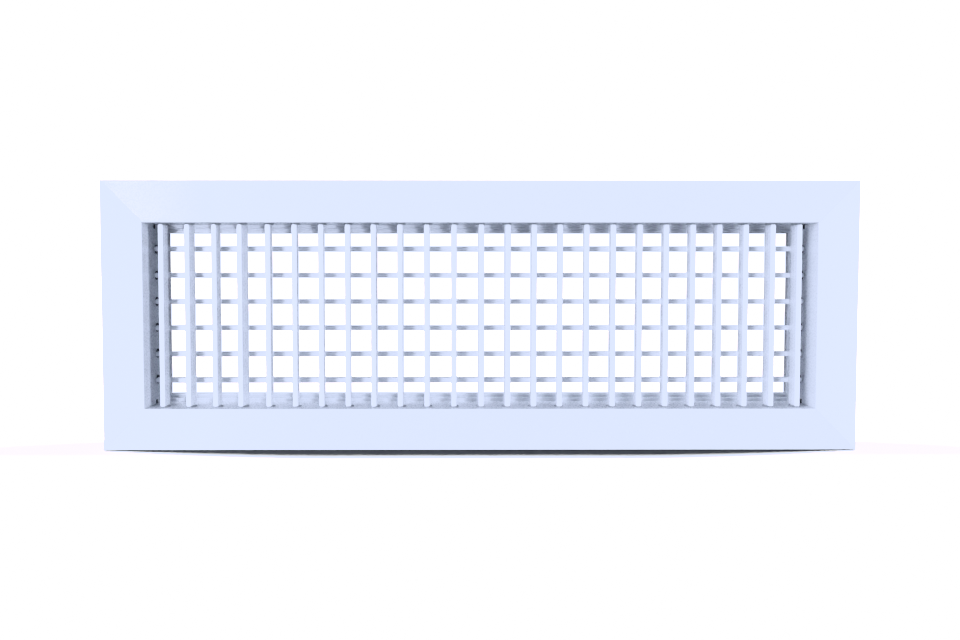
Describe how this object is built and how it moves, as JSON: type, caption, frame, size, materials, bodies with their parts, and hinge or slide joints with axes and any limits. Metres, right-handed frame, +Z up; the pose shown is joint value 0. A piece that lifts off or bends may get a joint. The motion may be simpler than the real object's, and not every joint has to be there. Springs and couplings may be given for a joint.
{
  "type": "louvred air grille",
  "caption": "White rectangular supply-air grille: mitred aluminium border, upright front blades and level rear blades that each turn on end pivots.",
  "frame": {"origin": "centre of the wall opening, in the wall plane that the border rests on", "axes": "+X along the long side, +Y into the duct (the room is on -Y), +Z up"},
  "size_m": [0.544, 0.052, 0.194],
  "materials": {
    "frame_paint": "satin cool-white powder coat on extruded aluminium",
    "blade_paint": "satin cool-white powder coat on extruded aluminium",
    "bush_nylon": "plain moulded dark grey nylon",
    "key_zinc": "zinc-plated pressed steel",
    "cleat_steel": "black-finished pressed steel",
    "clip_steel": "tempered spring steel strip"
  },
  "bodies": {
    "grille_frame": {"frame_top": "frame_paint", "frame_right": "frame_paint", "frame_bottom": "frame_paint", "frame_left": "frame_paint", "corner_key_top_right": "key_zinc", "corner_key_bottom_right": "key_zinc", "corner_key_bottom_left": "key_zinc", "corner_key_top_left": "key_zinc", "rear_bush_right_1": "bush_nylon", "rear_bush_left_1": "bush_nylon", "rear_bush_right_2": "bush_nylon", "rear_bush_left_2": "bush_nylon", "rear_bush_right_3": "bush_nylon", "rear_bush_left_3": "bush_nylon", "rear_bush_right_4": "bush_nylon", "rear_bush_left_4": "bush_nylon", "rear_bush_right_5": "bush_nylon", "rear_bush_left_5": "bush_nylon", "rear_bush_right_6": "bush_nylon", "rear_bush_left_6": "bush_nylon", "neck_cleat_top_right": "cleat_steel", "neck_cleat_bottom_right": "cleat_steel", "neck_cleat_bottom_left": "cleat_steel", "neck_cleat_top_left": "cleat_steel", "spring_clip_top_left": "clip_steel", "spring_clip_top_right": "clip_steel", "spring_clip_bottom_left": "clip_steel", "spring_clip_bottom_right": "clip_steel"},
    "front_blade_01": {"front_blade_01": "blade_paint"},
    "front_blade_02": {"front_blade_02": "blade_paint"},
    "front_blade_03": {"front_blade_03": "blade_paint"},
    "front_blade_04": {"front_blade_04": "blade_paint"},
    "front_blade_05": {"front_blade_05": "blade_paint"},
    "front_blade_06": {"front_blade_06": "blade_paint"},
    "front_blade_07": {"front_blade_07": "blade_paint"},
    "front_blade_08": {"front_blade_08": "blade_paint"},
    "front_blade_09": {"front_blade_09": "blade_paint"},
    "front_blade_10": {"front_blade_10": "blade_paint"},
    "front_blade_11": {"front_blade_11": "blade_paint"},
    "front_blade_12": {"front_blade_12": "blade_paint"},
    "front_blade_13": {"front_blade_13": "blade_paint"},
    "front_blade_14": {"front_blade_14": "blade_paint"},
    "front_blade_15": {"front_blade_15": "blade_paint"},
    "front_blade_16": {"front_blade_16": "blade_paint"},
    "front_blade_17": {"front_blade_17": "blade_paint"},
    "front_blade_18": {"front_blade_18": "blade_paint"},
    "front_blade_19": {"front_blade_19": "blade_paint"},
    "front_blade_20": {"front_blade_20": "blade_paint"},
    "front_blade_21": {"front_blade_21": "blade_paint"},
    "front_blade_22": {"front_blade_22": "blade_paint"},
    "front_blade_23": {"front_blade_23": "blade_paint"},
    "front_blade_24": {"front_blade_24": "blade_paint"},
    "front_blade_25": {"front_blade_25": "blade_paint"},
    "rear_blade_1": {"rear_blade_1": "blade_paint"},
    "rear_blade_2": {"rear_blade_2": "blade_paint"},
    "rear_blade_3": {"rear_blade_3": "blade_paint"},
    "rear_blade_4": {"rear_blade_4": "blade_paint"},
    "rear_blade_5": {"rear_blade_5": "blade_paint"},
    "rear_blade_6": {"rear_blade_6": "blade_paint"}
  },
  "joints": [
    {"name": "front_blade_01_turn", "type": "hinge", "parent": "grille_frame", "child": "front_blade_01", "pos_m": [-0.2304, 0.0076, 0], "axis": [0, 0, 1], "range_deg": [-89, 91]},
    {"name": "front_blade_02_turn", "type": "hinge", "parent": "grille_frame", "child": "front_blade_02", "pos_m": [-0.2112, 0.0076, 0], "axis": [0, 0, 1], "range_deg": [-86, 94]},
    {"name": "front_blade_03_turn", "type": "hinge", "parent": "grille_frame", "child": "front_blade_03", "pos_m": [-0.192, 0.0076, 0], "axis": [0, 0, 1], "range_deg": [-88, 92]},
    {"name": "front_blade_04_turn", "type": "hinge", "parent": "grille_frame", "child": "front_blade_04", "pos_m": [-0.1728, 0.0076, 0], "axis": [0, 0, 1], "range_deg": [-81, 99]},
    {"name": "front_blade_05_turn", "type": "hinge", "parent": "grille_frame", "child": "front_blade_05", "pos_m": [-0.1536, 0.0076, 0], "axis": [0, 0, 1], "range_deg": [-90, 90]},
    {"name": "front_blade_06_turn", "type": "hinge", "parent": "grille_frame", "child": "front_blade_06", "pos_m": [-0.1344, 0.0076, 0], "axis": [0, 0, 1], "range_deg": [-90, 90]},
    {"name": "front_blade_07_turn", "type": "hinge", "parent": "grille_frame", "child": "front_blade_07", "pos_m": [-0.1152, 0.0076, 0], "axis": [0, 0, 1], "range_deg": [-90, 90]},
    {"name": "front_blade_08_turn", "type": "hinge", "parent": "grille_frame", "child": "front_blade_08", "pos_m": [-0.096, 0.0076, 0], "axis": [0, 0, 1], "range_deg": [-90, 90]},
    {"name": "front_blade_09_turn", "type": "hinge", "parent": "grille_frame", "child": "front_blade_09", "pos_m": [-0.0768, 0.0076, 0], "axis": [0, 0, 1], "range_deg": [-86, 94]},
    {"name": "front_blade_10_turn", "type": "hinge", "parent": "grille_frame", "child": "front_blade_10", "pos_m": [-0.0576, 0.0076, 0], "axis": [0, 0, 1], "range_deg": [-86, 94]},
    {"name": "front_blade_11_turn", "type": "hinge", "parent": "grille_frame", "child": "front_blade_11", "pos_m": [-0.0384, 0.0076, 0], "axis": [0, 0, 1], "range_deg": [-87, 93]},
    {"name": "front_blade_12_turn", "type": "hinge", "parent": "grille_frame", "child": "front_blade_12", "pos_m": [-0.0192, 0.0076, 0], "axis": [0, 0, 1], "range_deg": [-90, 90]},
    {"name": "front_blade_13_turn", "type": "hinge", "parent": "grille_frame", "child": "front_blade_13", "pos_m": [0, 0.0076, 0], "axis": [0, 0, 1], "range_deg": [-95, 85]},
    {"name": "front_blade_14_turn", "type": "hinge", "parent": "grille_frame", "child": "front_blade_14", "pos_m": [0.0192, 0.0076, 0], "axis": [0, 0, 1], "range_deg": [-95, 85]},
    {"name": "front_blade_15_turn", "type": "hinge", "parent": "grille_frame", "child": "front_blade_15", "pos_m": [0.0384, 0.0076, 0], "axis": [0, 0, 1], "range_deg": [-93, 87]},
    {"name": "front_blade_16_turn", "type": "hinge", "parent": "grille_frame", "child": "front_blade_16", "pos_m": [0.0576, 0.0076, 0], "axis": [0, 0, 1], "range_deg": [-90, 90]},
    {"name": "front_blade_17_turn", "type": "hinge", "parent": "grille_frame", "child": "front_blade_17", "pos_m": [0.0768, 0.0076, 0], "axis": [0, 0, 1], "range_deg": [-90, 90]},
    {"name": "front_blade_18_turn", "type": "hinge", "parent": "grille_frame", "child": "front_blade_18", "pos_m": [0.096, 0.0076, 0], "axis": [0, 0, 1], "range_deg": [-90, 90]},
    {"name": "front_blade_19_turn", "type": "hinge", "parent": "grille_frame", "child": "front_blade_19", "pos_m": [0.1152, 0.0076, 0], "axis": [0, 0, 1], "range_deg": [-90, 90]},
    {"name": "front_blade_20_turn", "type": "hinge", "parent": "grille_frame", "child": "front_blade_20", "pos_m": [0.1344, 0.0076, 0], "axis": [0, 0, 1], "range_deg": [-90, 90]},
    {"name": "front_blade_21_turn", "type": "hinge", "parent": "grille_frame", "child": "front_blade_21", "pos_m": [0.1536, 0.0076, 0], "axis": [0, 0, 1], "range_deg": [-90, 90]},
    {"name": "front_blade_22_turn", "type": "hinge", "parent": "grille_frame", "child": "front_blade_22", "pos_m": [0.1728, 0.0076, 0], "axis": [0, 0, 1], "range_deg": [-90, 90]},
    {"name": "front_blade_23_turn", "type": "hinge", "parent": "grille_frame", "child": "front_blade_23", "pos_m": [0.192, 0.0076, 0], "axis": [0, 0, 1], "range_deg": [-90, 90]},
    {"name": "front_blade_24_turn", "type": "hinge", "parent": "grille_frame", "child": "front_blade_24", "pos_m": [0.2112, 0.0076, 0], "axis": [0, 0, 1], "range_deg": [-92, 88]},
    {"name": "front_blade_25_turn", "type": "hinge", "parent": "grille_frame", "child": "front_blade_25", "pos_m": [0.2304, 0.0076, 0], "axis": [0, 0, 1], "range_deg": [-92, 88]},
    {"name": "rear_blade_1_turn", "type": "hinge", "parent": "grille_frame", "child": "rear_blade_1", "pos_m": [0, 0.026, 0.04875], "axis": [1, 0, 0], "range_deg": [-90, 90]},
    {"name": "rear_blade_2_turn", "type": "hinge", "parent": "grille_frame", "child": "rear_blade_2", "pos_m": [0, 0.026, 0.02925], "axis": [1, 0, 0], "range_deg": [-90, 90]},
    {"name": "rear_blade_3_turn", "type": "hinge", "parent": "grille_frame", "child": "rear_blade_3", "pos_m": [0, 0.026, 0.00975], "axis": [1, 0, 0], "range_deg": [-90, 90]},
    {"name": "rear_blade_4_turn", "type": "hinge", "parent": "grille_frame", "child": "rear_blade_4", "pos_m": [0, 0.026, -0.00975], "axis": [1, 0, 0], "range_deg": [-90, 90]},
    {"name": "rear_blade_5_turn", "type": "hinge", "parent": "grille_frame", "child": "rear_blade_5", "pos_m": [0, 0.026, -0.02925], "axis": [1, 0, 0], "range_deg": [-90, 90]},
    {"name": "rear_blade_6_turn", "type": "hinge", "parent": "grille_frame", "child": "rear_blade_6", "pos_m": [0, 0.026, -0.04875], "axis": [1, 0, 0], "range_deg": [-90, 90]}
  ]
}
